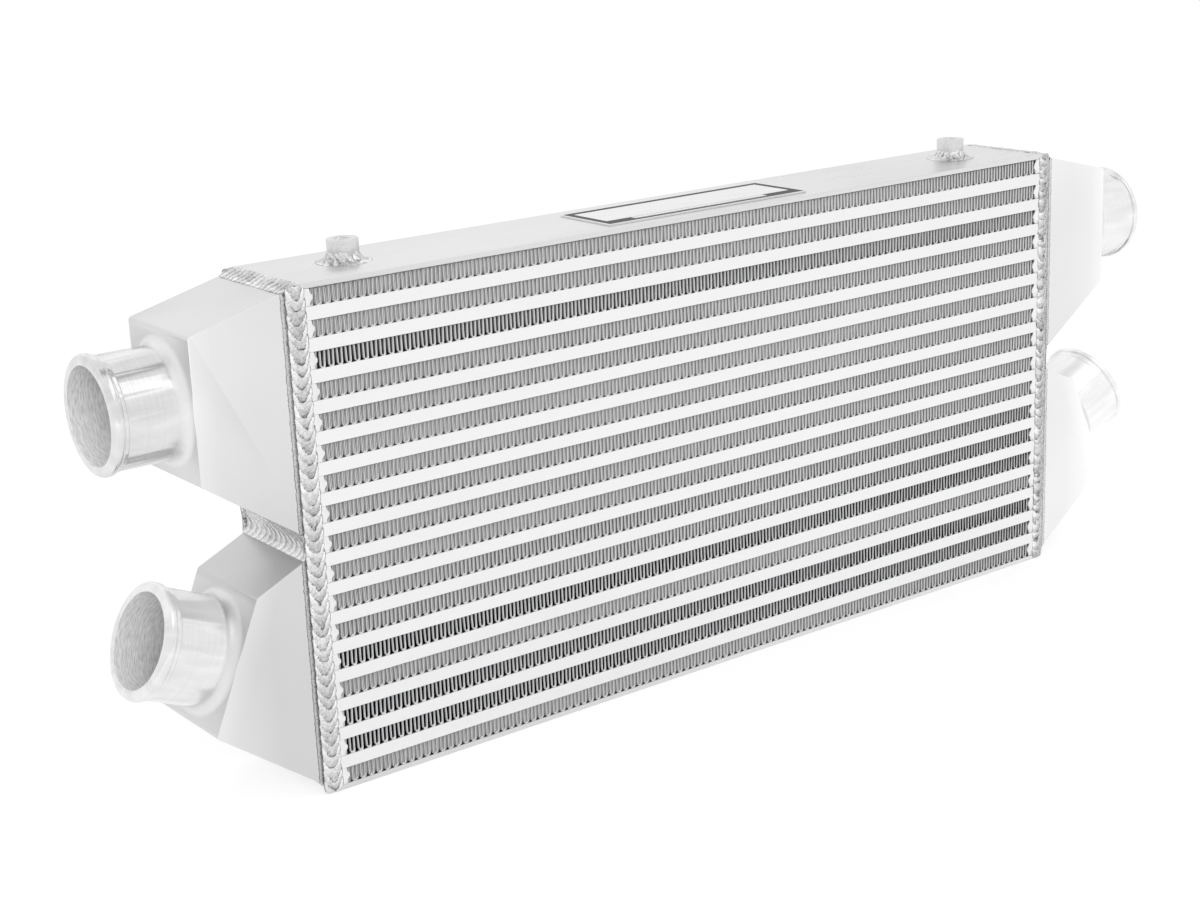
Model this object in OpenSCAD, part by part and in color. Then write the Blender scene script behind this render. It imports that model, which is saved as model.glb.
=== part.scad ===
// Bar and plate charge air cooler with two inlets and two outlets, all in millimetres.
// The origin is at the middle of the core's bottom face. The long side runs along X,
// cooling air flows through along Y, and the passages are stacked along Z.

/* [Core] */
// Length of the core over its end bars
core_l = 610; // [480:1:640]
// Depth of the core in the direction of the cooling air
core_d = 76; // [66:1:90]
// Number of cooling air rows
fin_rows = 17; // [11:2:17]
// Clear height of one cooling air row
fin_h = 10.2; // [8:0.1:11]
// Height of the long bars that close a charge passage
bar_h = 6.6; // [5:0.1:8]
// Width of the long bars, seen from above
bar_w = 8; // [5:0.5:10]
// Thickness of a parting sheet
sheet_t = 0.6; // [0.4:0.1:1]
// Thickness of the top and bottom plates
plate_t = 3.2; // [2:0.1:5]
// Width of the end bars of the air rows, with their nose
end_bar_w = 11; // [8:0.5:14]
// How far the nose of an end bar stands out
end_bar_nose = 2; // [0.5:0.1:3]
// Height of the flat tip of that nose
end_bar_tip = 2; // [1:0.1:3]
// Height of the foot of that nose
end_bar_foot = 5; // [4:0.1:7]
// How far the bar's face leans out towards the foot of its nose
end_bar_lean = 0.5; // [0:0.1:0.5]

/* [Fins] */
// Waves in one cooling air fin
fin_waves = 104; // [40:1:110]
// Thickness of the folded fin sheet
fin_t = 0.15; // [0.1:0.05:0.3]
// How far the fins stay behind the faces of the core
fin_setback = 1; // [0:0.1:3]
// Waves in the folded sheet inside a charge passage
turbulator_waves = 10; // [6:1:14]
// Thickness of the sheet inside a charge passage
turbulator_t = 0.3; // [0.2:0.05:0.4]
// How deep that sheet is brazed into the parting sheets
braze = 0.15; // [0.05:0.05:0.3]

/* [Tanks] */
// Depth of the tanks
tank_d = 73; // [72:0.5:76]
// Wall thickness of the cast tanks
tank_wall = 4; // [3:0.5:5]
// Step from the core's plates to the edge of the tanks
tank_step = 2; // [1:0.5:3]
// Gap between the upper and the lower tank at the core
tank_gap = 8; // [6:0.5:10]
// Radius of the corners of the tank outlines
tank_r = 2.5; // [1:0.5:3]
// How far the upper tank stands out from the core
upper_reach = 66; // [60:1:80]
// Depth of the upper tank's shoulder below the top of the core
upper_shoulder = 18.6; // [12:0.2:20]
// Height of the upper tank's end face
upper_face = 84; // [82:0.5:90]
// How far the lower tank's shoulder stands out from the core
lower_shoulder = 38.5; // [34:0.5:42]
// Depth of the lower tank's shoulder below the middle of the core
lower_drop = 21.5; // [18:0.5:22]
// How far the lower tank's knee stands out from the core
lower_reach = 71; // [68:0.5:76]
// Height of the lower tank's knee above the bottom of the core
lower_knee = 54.8; // [50:0.2:56]

/* [Necks] */
// Outer diameter of the hose necks
neck_d = 65; // [60:0.5:66]
// Bore of the hose necks
neck_bore = 56; // [50:0.5:57]
// Length of a neck from its tank to its mouth
neck_l = 45; // [36:1:60]
// Radius of the fillet where a neck grows out of its tank
neck_fillet = 6.5; // [3:0.5:6.5]
// Small step around the toe of that fillet
neck_toe = 0.2; // [0.1:0.1:0.5]
// Outer diameter of the raised lip
lip_d = 68.6; // [67:0.2:70]
// Length of the lip's cylindrical land
lip_land = 4; // [3:0.5:8]
// Length of the slope in front of the lip
lip_lead = 5; // [3:0.5:6]
// Length of the slope behind the lip
lip_back = 1.2; // [0.5:0.1:3]
// Outer diameter of the flat ring at the mouth
mouth_d = 61; // [59:0.5:64]
// Fullness of the slope between that ring and the lip
lip_crown = 0.8; // [0:0.1:1]

/* [Welds] */
// Width of the weld beads on each side of a joint
weld_leg = 6; // [4:0.5:7]
// How far a weld bead stands out over the edge that it covers
weld_rise = 1.15; // [1:0.05:2]
// Thickness of a rippled bead at its toes
weld_toe = 0.2; // [0.1:0.1:0.5]
// Spacing of the ripples that the drops of filler leave along a bead
ripple_pitch = 6.5; // [5:0.5:8]
// Height of those ripples
ripple_rise = 0.5; // [0.2:0.1:0.8]
// Width on the tank of the bead at the top plate
top_leg = 9; // [6:0.5:12]
// Width on the top plate of that bead
top_lap = 3; // [2:0.5:6]
// Width on each tank of the bead between the tanks
middle_leg = 9.5; // [8:0.5:12]
// Bulge of the bead between the tanks
middle_rise = 2.5; // [1:0.1:4]
// Spacing of the ripples along that bead
middle_pitch = 4; // [3:0.5:6]
// Bulge of the beads under the tanks
bottom_rise = 1.4; // [0.5:0.1:2]
// Height of the ends of the vertical beads from the ends of the core
weld_end = 0.3; // [0:0.1:1]

/* [Bosses and name plate] */
// Distance of the mounting bosses from the middle of the core
boss_x = 250; // [200:1:270]
// Place of the mounting bosses along the depth
boss_y = 2; // [-10:1:10]
// Outer diameter of the mounting bosses
boss_d = 19; // [16:0.5:24]
// Height of the mounting bosses
boss_h = 13.6; // [12:0.2:20]
// Tapping bore of the bosses, for an M10 thread
boss_bore = 8.5; // [6.8:0.1:10.2]
// Depth of the tapping bore
boss_bore_l = 11; // [8:0.5:12]
// Width of the chamfer at the bore
boss_chamfer = 1.2; // [0.5:0.1:2]
// Leg of the concave weld around a boss
boss_weld = 7; // [4:0.5:9]
// Length of the name plate
label_l = 163; // [120:1:200]
// Width of the name plate
label_w = 51; // [40:1:55]
// Thickness of the name plate
label_t = 1.2; // [1:0.1:2]
// Place of the name plate along the length
label_x = 2; // [-20:1:20]
// Place of the name plate along the depth
label_y = -3; // [-5:1:5]
// Width of the raised border of the name plate
label_border = 2; // [1:0.5:4]
// Depth of the field inside that border
label_field = 0.3; // [0.1:0.1:0.5]

/* [Hidden] */
$fn = 72;
overcut = 1;
arc_steps = 6;
layer_h = bar_h + 2 * sheet_t;
row_pitch = fin_h + layer_h;
core_h = fin_rows * fin_h + (fin_rows - 1) * layer_h + 2 * plate_t;
core_end = core_l / 2;
core_mid = core_h / 2;
fin_l = core_l - 2 * end_bar_w;

function two_digits(i) = str(i < 10 ? "0" : "", i);
fin_names = [for (i = [1 : fin_rows]) str("air_fin_", two_digits(i))];
passage_names = [for (i = [1 : fin_rows - 1]) str("charge_passage_", two_digits(i))];

// Outlines of the right-hand tanks in the plane of X and Z, from the core's end outwards
upper_top = [core_end, core_h - tank_step];
upper_out = [core_end + upper_reach, core_h - upper_shoulder];
upper_low = upper_out - [0, upper_face];
upper_foot = [core_end, core_mid + tank_gap / 2];
lower_head = [core_end, core_mid - tank_gap / 2];
lower_out = [core_end + lower_shoulder, core_mid - lower_drop];
lower_low = [core_end + lower_reach, lower_knee];
lower_foot = [core_end, tank_step];

// Heights of the undersides of an air row and of a charge passage, counted from the bottom
function row_z(i) = plate_t + (i - 1) * row_pitch;
function passage_z(i) = row_z(i) + fin_h;

function unit(v) = v / norm(v);
function right_of(v) = [v.y, -v.x];
// The point on the line from a to b that lies at the given x
function at_x(a, b, x) = a + (b - a) * (x - a.x) / (b.x - a.x);

// Folded sheet of one wave after the other, as points from a width, a height and a thickness
function wave_edge(waves, width, height, lift) =
    [for (k = [0 : 2 * waves]) [k * width / (2 * waves) - width / 2, lift + (k % 2) * height]];

function folded_sheet(waves, width, height, sheet) =
    let (
        leg = width / (2 * waves),
        upright = sheet * norm([leg, height]) / leg,
        low = wave_edge(waves, width, height - upright, 0),
        high = wave_edge(waves, width, height - upright, upright)
    )
    concat(low, [for (k = [len(high) - 1 : -1 : 0]) high[k]]);

// Lays a flat outline of X and Z along the depth, centred on Y
module along_y(depth) {
    rotate([90, 0, 0]) linear_extrude(depth, center = true) children();
}

module on_side(side) {
    if (side == "left") mirror([1, 0, 0]) children();
    else children();
}

module end_plate() {
    translate([-core_end, -core_d / 2, 0]) cube([core_l, core_d, plate_t]);
}

module core_top_plate() {
    color("gainsboro") translate([0, 0, core_h - plate_t]) end_plate();
}

module core_bottom_plate() {
    color("gainsboro") end_plate();
}

// One end bar: a flat bar with a blunt nose towards the fins
module end_bar_outline() {
    inner = core_end - end_bar_w;
    shoulder = inner + end_bar_nose;
    foot = shoulder - end_bar_lean;
    middle = fin_h / 2;
    polygon([
        [core_end, 0], [core_end, fin_h], [shoulder, fin_h],
        [foot, middle + end_bar_foot / 2], [inner, middle + end_bar_tip / 2],
        [inner, middle - end_bar_tip / 2], [foot, middle - end_bar_foot / 2], [shoulder, 0]
    ]);
}

module end_bars(side) {
    color("whitesmoke") on_side(side)
        for (i = [1 : fin_rows])
            translate([0, 0, row_z(i)]) along_y(core_d) end_bar_outline();
}

// Two long bars and two parting sheets around a folded sheet, brazed into one
module passage_section() {
    difference() {
        translate([-core_d / 2, 0]) square([core_d, layer_h]);
        translate([bar_w - core_d / 2, sheet_t]) square([core_d - 2 * bar_w, bar_h]);
    }
    translate([0, sheet_t - braze])
        polygon(folded_sheet(
            turbulator_waves, core_d - 2 * bar_w + 2 * braze, bar_h + 2 * braze, turbulator_t));
}

module charge_passage(i) {
    color("gainsboro") translate([0, 0, passage_z(i)])
        rotate([90, 0, 90]) linear_extrude(core_l, center = true) passage_section();
}

module air_fin(i) {
    color("darkgray") translate([0, 0, row_z(i)])
        along_y(core_d - 2 * fin_setback)
            polygon(folded_sheet(fin_waves, fin_l, fin_h, fin_t));
}

// Rounds the corner p between a and b of an outline that runs clockwise
function corner_arc(a, p, b, radius) =
    let (
        u = unit(a - p),
        v = unit(b - p),
        half = acos(u * v) / 2,
        centre = p + unit(u + v) * radius / sin(half),
        first = p + u * radius / tan(half) - centre,
        step = (180 - 2 * half) / arc_steps
    )
    [for (k = [0 : arc_steps])
        centre + radius * [
            cos(atan2(first.y, first.x) - k * step), sin(atan2(first.y, first.x) - k * step)]];

module tank_outline(points) {
    polygon(concat(
        [points[0]],
        corner_arc(points[0], points[1], points[2], tank_r),
        corner_arc(points[1], points[2], points[3], tank_r),
        [points[3]]
    ));
}

// The outline one wall inside a tank, running on past the core's end
function inner_corner(a, p, b) =
    let (m = right_of(unit(p - a)), n = right_of(unit(b - p)))
    p + tank_wall * (m + n) / (1 + m * n);

function inner_outline(points) =
    let (
        start = at_x(points[0], points[1], core_end - tank_wall),
        finish = at_x(points[3], points[2], core_end - tank_wall)
    )
    [
        start + tank_wall * right_of(unit(points[1] - start)),
        inner_corner(points[0], points[1], points[2]),
        inner_corner(points[1], points[2], points[3]),
        finish + tank_wall * right_of(unit(finish - points[2]))
    ];

// Half section of a neck with its lip and root fillet: X is the radius, Y the way outwards.
// Its root ends inside the wall of the tank
module neck_section() {
    root = tank_wall / 2;
    lip_front = neck_l - lip_lead;
    lip_rear = lip_front - lip_land;
    fillet_at = [neck_d / 2 + neck_fillet, neck_toe + neck_fillet];
    difference() {
        union() {
            polygon([
                [0, -root], [neck_d / 2, -root], [neck_d / 2, lip_rear - lip_back],
                [lip_d / 2, lip_rear], [lip_d / 2, lip_front],
                [(lip_d + mouth_d) / 4 + lip_crown, neck_l - lip_lead / 4],
                [mouth_d / 2, neck_l], [0, neck_l]
            ]);
            translate([0, -root]) square(fillet_at + [0, root]);
        }
        translate(fillet_at) circle(neck_fillet);
    }
}

// Puts children on the end face between two points, with +Z pointing straight out of it
module on_end_face(top, low) {
    out = -right_of(unit(low - top));
    middle = (top + low) / 2;
    translate([middle.x, 0, middle.y]) rotate([0, atan2(out.x, out.y), 0]) children();
}

// A cast tank with its neck in one piece, open towards the core
module tank(points) {
    difference() {
        union() {
            along_y(tank_d) tank_outline(points);
            on_end_face(points[1], points[2]) intersection() {
                rotate_extrude() neck_section();
                translate([-tank_d, neck_toe - tank_d / 2, -tank_wall])
                    cube([2 * tank_d, tank_d - 2 * neck_toe, neck_l + tank_wall + overcut]);
            }
        }
        along_y(tank_d - 2 * tank_wall) polygon(inner_outline(points));
        on_end_face(points[1], points[2])
            translate([0, 0, -tank_wall - overcut])
                cylinder(d = neck_bore, h = neck_l + tank_wall + 2 * overcut);
    }
}

module upper_tank(side) {
    color("lightgray") on_side(side) tank([upper_top, upper_out, upper_low, upper_foot]);
}

module lower_tank(side) {
    color("lightgray") on_side(side) tank([lower_head, lower_out, lower_low, lower_foot]);
}

// A bead of weld lies on its seat, whose points run from one toe to the other. It bulges out as
// an arc over both toes, by its cover more than the highest edge of the seat
function outwards(seat) = right_of(unit(seat[len(seat) - 1] - seat[0]));
function half_width(seat) = norm(seat[len(seat) - 1] - seat[0]) / 2;
function rise(seat, cover) = cover + max([for (p = seat) (p - seat[0]) * outwards(seat)]);
function bulge(seat, cover) =
    (half_width(seat) ^ 2 + rise(seat, cover) ^ 2) / (2 * rise(seat, cover));
function bulge_centre(seat, cover) =
    (seat[0] + seat[len(seat) - 1]) / 2 + outwards(seat) * (rise(seat, cover) - bulge(seat, cover));

module over_seat(seat, room) {
    polygon(concat(
        seat, [seat[len(seat) - 1] + outwards(seat) * room, seat[0] + outwards(seat) * room]));
}

module bead(seat, cover) {
    intersection() {
        over_seat(seat, 2 * rise(seat, cover));
        translate(bulge_centre(seat, cover)) circle(bulge(seat, cover));
    }
}

// A drop of filler that reaches so far from the bead's centre line: a ring, or on a narrow bead
// a ball
module filler_drop(reach, roundness) {
    if (reach > 3 * roundness)
        rotate_extrude() translate([reach - roundness, 0]) circle(roundness);
    else sphere(reach);
}

// A bead along Z with a ripple for each drop of filler
module rippled_bead(seat, cover, length, pitch = ripple_pitch) {
    drops = floor(length / pitch);
    radius = bulge(seat, cover) + weld_toe;
    inwards = -outwards(seat);
    intersection() {
        linear_extrude(length, center = true) over_seat(seat, 2 * rise(seat, cover) + ripple_rise);
        translate(bulge_centre(seat, cover)) rotate(atan2(inwards.y, inwards.x)) {
            cylinder(r = radius, h = length + 2 * overcut, center = true);
            for (k = [1 : drops])
                translate([0, 0, (k - (drops + 1) / 2) * length / drops])
                    filler_drop(radius + ripple_rise, 3 / 4 * pitch);
        }
    }
}

// The upright bead on the corner of core and tanks, seen from above
module upright_weld(side, facing) {
    seat = [
        [core_end - weld_leg, -core_d / 2], [core_end, -core_d / 2],
        [core_end, -tank_d / 2], [core_end + weld_leg, -tank_d / 2]
    ];
    color("silver") on_side(side) mirror([0, facing == "rear" ? 1 : 0, 0])
        translate([0, 0, core_mid]) rippled_bead(seat, weld_rise, core_h - 2 * weld_end);
}

module top_weld(side) {
    seat = [
        at_x(upper_top, upper_out, core_end + top_leg), upper_top,
        [core_end, core_h], [core_end - top_lap, core_h]
    ];
    color("silver") on_side(side) rotate([90, 0, 0]) rippled_bead(seat, weld_rise, tank_d);
}

module middle_weld(side) {
    seat = [
        at_x(lower_head, lower_out, core_end + middle_leg), lower_head,
        upper_foot, at_x(upper_foot, upper_low, core_end + middle_leg)
    ];
    color("silver") on_side(side) rotate([90, 0, 0])
        rippled_bead(seat, middle_rise, tank_d, middle_pitch);
}

module bottom_weld(side) {
    seat = [
        [core_end, weld_end], lower_foot,
        at_x(lower_foot, lower_low, core_end + weld_leg)
    ];
    color("silver") on_side(side) along_y(tank_d) bead(seat, bottom_rise);
}

module boss_place(side) {
    translate([side == "left" ? -boss_x : boss_x, boss_y, core_h]) children();
}

// A turned boss with a blind tapping bore
module boss(side) {
    color("gainsboro") boss_place(side) difference() {
        cylinder(d = boss_d, h = boss_h);
        translate([0, 0, boss_h - boss_bore_l]) cylinder(d = boss_bore, h = boss_bore_l + overcut);
        translate([0, 0, boss_h - boss_chamfer])
            cylinder(d1 = boss_bore, d2 = boss_bore + 2 * boss_chamfer, h = boss_chamfer);
    }
}

// The concave bead around the foot of a boss
module boss_weld(side) {
    color("silver") boss_place(side) rotate_extrude() difference() {
        translate([boss_d / 2, 0]) square(boss_weld);
        translate([boss_d / 2 + boss_weld, boss_weld]) circle(boss_weld);
    }
}

module name_plate() {
    color("silver") translate([label_x, label_y, core_h]) difference() {
        translate([-label_l / 2, -label_w / 2, 0]) cube([label_l, label_w, label_t]);
        translate([label_border - label_l / 2, label_border - label_w / 2, label_t - label_field])
            cube([label_l - 2 * label_border, label_w - 2 * label_border, label_t]);
    }
}

core_top_plate();
core_bottom_plate();
end_bars("left");  // left_end_bars
end_bars("right");  // right_end_bars
for (i = [1 : fin_rows - 1])
    charge_passage(i);
for (i = [1 : fin_rows])
    air_fin(i);
upper_tank("left");  // upper_left_tank
upper_tank("right");  // upper_right_tank
lower_tank("left");  // lower_left_tank
lower_tank("right");  // lower_right_tank
upright_weld("left", "front");  // left_front_weld
upright_weld("left", "rear");  // left_rear_weld
upright_weld("right", "front");  // right_front_weld
upright_weld("right", "rear");  // right_rear_weld
top_weld("left");  // left_top_weld
top_weld("right");  // right_top_weld
middle_weld("left");  // left_middle_weld
middle_weld("right");  // right_middle_weld
bottom_weld("left");  // left_bottom_weld
bottom_weld("right");  // right_bottom_weld
boss("left");  // left_boss
boss("right");  // right_boss
boss_weld("left");  // left_boss_weld
boss_weld("right");  // right_boss_weld
name_plate();
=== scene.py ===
# Bar and plate charge air cooler in bare aluminium, with two inlets and two outlets.
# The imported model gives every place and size; this script gives each piece its finish.
import math
import random

import bmesh
import bpy
from mathutils import Matrix, Vector


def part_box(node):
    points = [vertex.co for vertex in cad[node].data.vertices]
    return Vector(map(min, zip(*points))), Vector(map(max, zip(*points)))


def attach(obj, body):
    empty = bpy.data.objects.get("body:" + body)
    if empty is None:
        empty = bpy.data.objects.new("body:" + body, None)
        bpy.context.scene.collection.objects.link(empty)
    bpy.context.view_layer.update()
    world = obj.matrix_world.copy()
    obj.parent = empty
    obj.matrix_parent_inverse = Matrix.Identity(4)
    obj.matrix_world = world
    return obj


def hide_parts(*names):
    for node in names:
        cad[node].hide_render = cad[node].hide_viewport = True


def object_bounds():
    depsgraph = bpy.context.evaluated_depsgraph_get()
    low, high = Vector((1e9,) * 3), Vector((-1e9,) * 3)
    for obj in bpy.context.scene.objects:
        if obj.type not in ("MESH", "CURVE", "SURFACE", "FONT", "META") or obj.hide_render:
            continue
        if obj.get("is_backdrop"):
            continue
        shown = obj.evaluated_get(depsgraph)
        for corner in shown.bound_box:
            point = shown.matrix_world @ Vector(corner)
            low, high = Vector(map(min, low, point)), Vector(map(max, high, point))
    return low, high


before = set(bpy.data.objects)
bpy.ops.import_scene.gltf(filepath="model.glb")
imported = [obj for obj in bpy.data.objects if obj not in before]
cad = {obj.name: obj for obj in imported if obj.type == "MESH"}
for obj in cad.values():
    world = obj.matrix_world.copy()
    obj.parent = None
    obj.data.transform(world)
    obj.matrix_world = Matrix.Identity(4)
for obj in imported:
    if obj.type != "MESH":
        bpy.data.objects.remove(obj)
cad_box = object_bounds()


# Camera. It stands in front and to the left of the cooler, a little above it, and leans
# slightly, as the photograph's did. The lens is for a picture of 1200 by 900.
eye = bpy.data.objects.new("camera", bpy.data.cameras.new("camera"))
bpy.context.scene.collection.objects.link(eye)
eye.data.sensor_width = 36
eye.data.lens = 63.6
eye.data.clip_start = 0.05
eye.data.clip_end = 60
look = Vector((0.57224, 0.77145, -0.27838)).normalized()
right = Vector((0.79573, -0.60435, -0.03886)).normalized()
tilt = Matrix((right, right.cross(look), -look)).transposed().to_4x4()
eye.matrix_world = Matrix.Translation((-0.85528, -1.05505, 0.53513)) @ tilt
bpy.context.scene.camera = eye
bpy.context.scene.view_settings.view_transform = "Standard"


# Studio. A white sweep of paper under and around the cooler: the floor takes a soft shadow,
# and everything that looks past the cooler, reflections too, sees plain white.
def add(tree, kind, inputs=None, **settings):
    """Adds a node; inputs holds values and sockets by the name or the number of the input."""
    made = tree.nodes.new(kind)
    for key, value in settings.items():
        setattr(made, key, value)
    for key, value in (inputs or {}).items():
        if isinstance(value, bpy.types.NodeSocket):
            tree.links.new(value, made.inputs[key])
        else:
            made.inputs[key].default_value = value
    return made


def maths(tree, operation, first, second=0.0, third=0.0, clamp=False):
    values = {0: first, 1: second, 2: third}
    return add(tree, "ShaderNodeMath", values, operation=operation, use_clamp=clamp).outputs[0]


def plus(tree, first, second, clamp=False):
    return maths(tree, "ADD", first, second, clamp=clamp)


def sees_background(tree):
    """1 for rays from the camera, and for those mirrored by metal or passed by glass."""
    path = add(tree, "ShaderNodeLightPath")
    mirrored = plus(tree, path.outputs["Is Camera Ray"], path.outputs["Is Glossy Ray"])
    return plus(tree, mirrored, path.outputs["Is Transmission Ray"], clamp=True)


world = bpy.data.worlds.new("studio")
bpy.context.scene.world = world
world.use_nodes = True
tree = world.node_tree
tree.nodes.clear()
dim = add(tree, "ShaderNodeBackground", {"Color": (1, 1, 1, 1), "Strength": 0.8})
white = add(tree, "ShaderNodeBackground", {"Color": (1, 1, 1, 1), "Strength": 1.0})
choice = {0: sees_background(tree), 1: dim.outputs[0], 2: white.outputs[0]}
both = add(tree, "ShaderNodeMixShader", choice)
add(tree, "ShaderNodeOutputWorld", {"Surface": both.outputs[0]})

paper = bpy.data.materials.new("white_paper")
paper.use_nodes = True
tree = paper.node_tree
tree.nodes.clear()
matte = add(tree, "ShaderNodeBsdfDiffuse", {"Color": (0.48, 0.48, 0.48, 1)})
glow = add(tree, "ShaderNodeEmission", {"Color": (1, 1, 1, 1), "Strength": 0.62})
lifted = add(tree, "ShaderNodeAddShader", {0: matte.outputs[0], 1: glow.outputs[0]})
choice = {0: sees_background(tree), 1: matte.outputs[0], 2: lifted.outputs[0]}
both = add(tree, "ShaderNodeMixShader", choice)
add(tree, "ShaderNodeOutputMaterial", {"Surface": both.outputs[0]})
sweep = bpy.data.meshes.new("floor")
reach, floor_z = 40, -2e-4
corners = [(x * reach, y * reach, floor_z) for x, y in ((-1, -1), (1, -1), (1, 1), (-1, 1))]
sweep.from_pydata(corners, [], [(0, 1, 2, 3)])
sweep.materials.append(paper)
floor = bpy.data.objects.new("floor", sweep)
bpy.context.scene.collection.objects.link(floor)
floor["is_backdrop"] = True


# Soft boxes: the main one beside the camera, one high on the right and one behind. All round
# the cooler is white, so the main one isn't mirrored and the others only lay a sheen over that.
middle = Vector((-0.05, 0, 0.15))
for name, place, width, height, gleam in (
    ("soft_box_left", (-1.6, -1.95, 1.1), 2.0, 1.5, 2.8),
    ("soft_box_right", (0.33, -1.0, 1.72), 1.6, 0.95, 0.4),
    ("soft_box_back", (0.3, 2.0, 1.6), 2.4, 1.2, 0.15),
):
    lamp = bpy.data.lights.new(name, "AREA")
    lamp.shape = "RECTANGLE"
    lamp.size, lamp.size_y, lamp.energy = width, height, gleam * width * height * math.pi
    box = bpy.data.objects.new(name, lamp)
    bpy.context.scene.collection.objects.link(box)
    box.location = place
    box.visible_glossy = name != "soft_box_left"
    box.rotation_euler = (middle - Vector(place)).to_track_quat("-Z", "Y").to_euler()

# A grey card overhead, seen only in the metal, draws the soft dark streak along each neck.
card = bpy.data.materials.new("grey_card")
card.use_nodes = True
tree = card.node_tree
tree.nodes.clear()
dull = add(tree, "ShaderNodeEmission", {"Color": (1, 1, 1, 1), "Strength": 0.5})
add(tree, "ShaderNodeOutputMaterial", {"Surface": dull.outputs[0]})
mesh = bpy.data.meshes.new("card_above")
x_from, x_to, y_from, y_to, card_z = -1.4, 1.6, -0.08, 0.18, 1.45
corners = [(x_from, y_from), (x_to, y_from), (x_to, y_to), (x_from, y_to)]
corners = [(x, y, card_z) for x, y in corners]
mesh.from_pydata(corners, [], [(0, 1, 2, 3)])
mesh.materials.append(card)
above = bpy.data.objects.new("card_above", mesh)
bpy.context.scene.collection.objects.link(above)
above.visible_camera = above.visible_diffuse = above.visible_shadow = False
above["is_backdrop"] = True


# Core plates. Two rolled aluminium sheets, 3.2 mm thick, brazed over and under the stack.
# Their edges are cut and then broken with a file, so they catch a thin line of light.
def metal(name, roughness, metallic=1.0):
    """A new metal, with its node tree, its shader and the object's own coordinates."""
    material = bpy.data.materials.new(name)
    material.use_nodes = True
    inside = material.node_tree
    shader = inside.nodes["Principled BSDF"]
    shader.inputs["Metallic"].default_value = metallic
    shader.inputs["Roughness"].default_value = roughness
    place = add(inside, "ShaderNodeTexCoord").outputs["Object"]
    return material, inside, shader, place


def noise(tree, vector, scale, detail=3.0):
    """Soft spots that run from 0 to 1."""
    inputs = {"Vector": vector, "Scale": scale, "Detail": detail}
    return add(tree, "ShaderNodeTexNoise", inputs).outputs["Fac"]


def grain(tree, place, scale, stretch=(1, 1, 1), detail=3.0):
    """Noise with its grain drawn out along an axis by a small stretch."""
    spread = add(tree, "ShaderNodeMapping", {"Vector": place, "Scale": stretch}).outputs[0]
    return noise(tree, spread, scale, detail)


def ramp(tree, value, low, high, bottom=0.0, top=1.0):
    limits = {"Value": value, "From Min": low, "From Max": high, "To Min": bottom, "To Max": top}
    return add(tree, "ShaderNodeMapRange", limits).outputs[0]


def minus(tree, first, second, clamp=False):
    return maths(tree, "SUBTRACT", first, second, clamp=clamp)


def times(tree, first, second):
    return maths(tree, "MULTIPLY", first, second)


def size_of(tree, value):
    """The value without its sign."""
    return maths(tree, "ABSOLUTE", value)


def parts_of(tree, vector):
    """The three numbers of a vector."""
    return add(tree, "ShaderNodeSeparateXYZ", {"Vector": vector}).outputs


def vector_of(tree, **parts):
    return add(tree, "ShaderNodeCombineXYZ", parts).outputs[0]


def tint(tree, level):
    """A grey from a number; aluminium is a trace bluer than it is red."""
    parts = {"Red": level, "Green": level, "Blue": times(tree, level, 1.004)}
    return add(tree, "ShaderNodeCombineColor", parts).outputs[0]


def mixed(tree, *shares):
    """The weighted sum of some values, from pairs of a value and its weight."""
    total = None
    for value, weight in shares:
        total = maths(tree, "MULTIPLY_ADD", value, weight, 0.0 if total is None else total)
    return total


def bump(tree, height, depth):
    raised = {"Height": height, "Distance": depth, "Strength": 1.0}
    return add(tree, "ShaderNodeBump", raised).outputs[0]


def finished(piece):
    """Turns a piece with modifiers into a plain mesh and takes the modifiers off."""
    bpy.context.view_layer.update()
    view = bpy.context.evaluated_depsgraph_get()
    made = bpy.data.meshes.new_from_object(
        piece.evaluated_get(view), preserve_all_data_layers=True, depsgraph=view)
    piece.modifiers.clear()
    piece.data = made
    return piece


def new_piece(name, mesh, material):
    piece = bpy.data.objects.new(name, mesh)
    bpy.context.scene.collection.objects.link(piece)
    if material and not mesh.materials:
        mesh.materials.append(material)
    return piece


def broken_edges(node, material, width, steps=2, corner=35):
    """A copy of a CAD node with its sharp edges broken by a small round."""
    work = bmesh.new()
    work.from_mesh(cad[node].data)
    bmesh.ops.remove_doubles(work, verts=work.verts, dist=2e-6)
    flat = math.radians(0.3)
    bmesh.ops.dissolve_limit(work, angle_limit=flat, verts=work.verts, edges=work.edges)
    for face in work.faces:
        face.smooth = True
    mesh = bpy.data.meshes.new(node + "_finished")
    work.to_mesh(mesh)
    work.free()
    piece = new_piece(node + "_finished", mesh, material)
    edge = piece.modifiers.new("edge", "BEVEL")
    edge.width, edge.segments, edge.limit_method = width, steps, "ANGLE"
    edge.angle_limit = math.radians(corner)
    edge.harden_normals = True
    return finished(piece)


def fit(piece, slot, *nodes):
    """The piece moves with the cooler and stands for its CAD nodes, which are hidden."""
    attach(piece, "root")
    if nodes:
        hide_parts(*nodes)
    return piece


def inside_stack(tree, place):
    """1 on what lies behind the two faces of the core: dull from the braze flux, and painted dark
    as the shade inside the passages.
    """
    face_y, plate_low, plate_high, bars_x = 0.0372, 0.003, 0.3016, 0.290
    x, y, z = parts_of(tree, place)
    deep = ramp(tree, size_of(tree, y), face_y, face_y - 0.0003)
    over, under = maths(tree, "GREATER_THAN", z, plate_low), maths(tree, "LESS_THAN", z, plate_high)
    by_fins = ramp(tree, size_of(tree, x), bars_x, bars_x + 0.003, 1.0, 0.5)
    return times(tree, deep, times(tree, times(tree, over, under), by_fins))


# Behind the faces the metal is painted near black: braze flux and painted shade.
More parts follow.
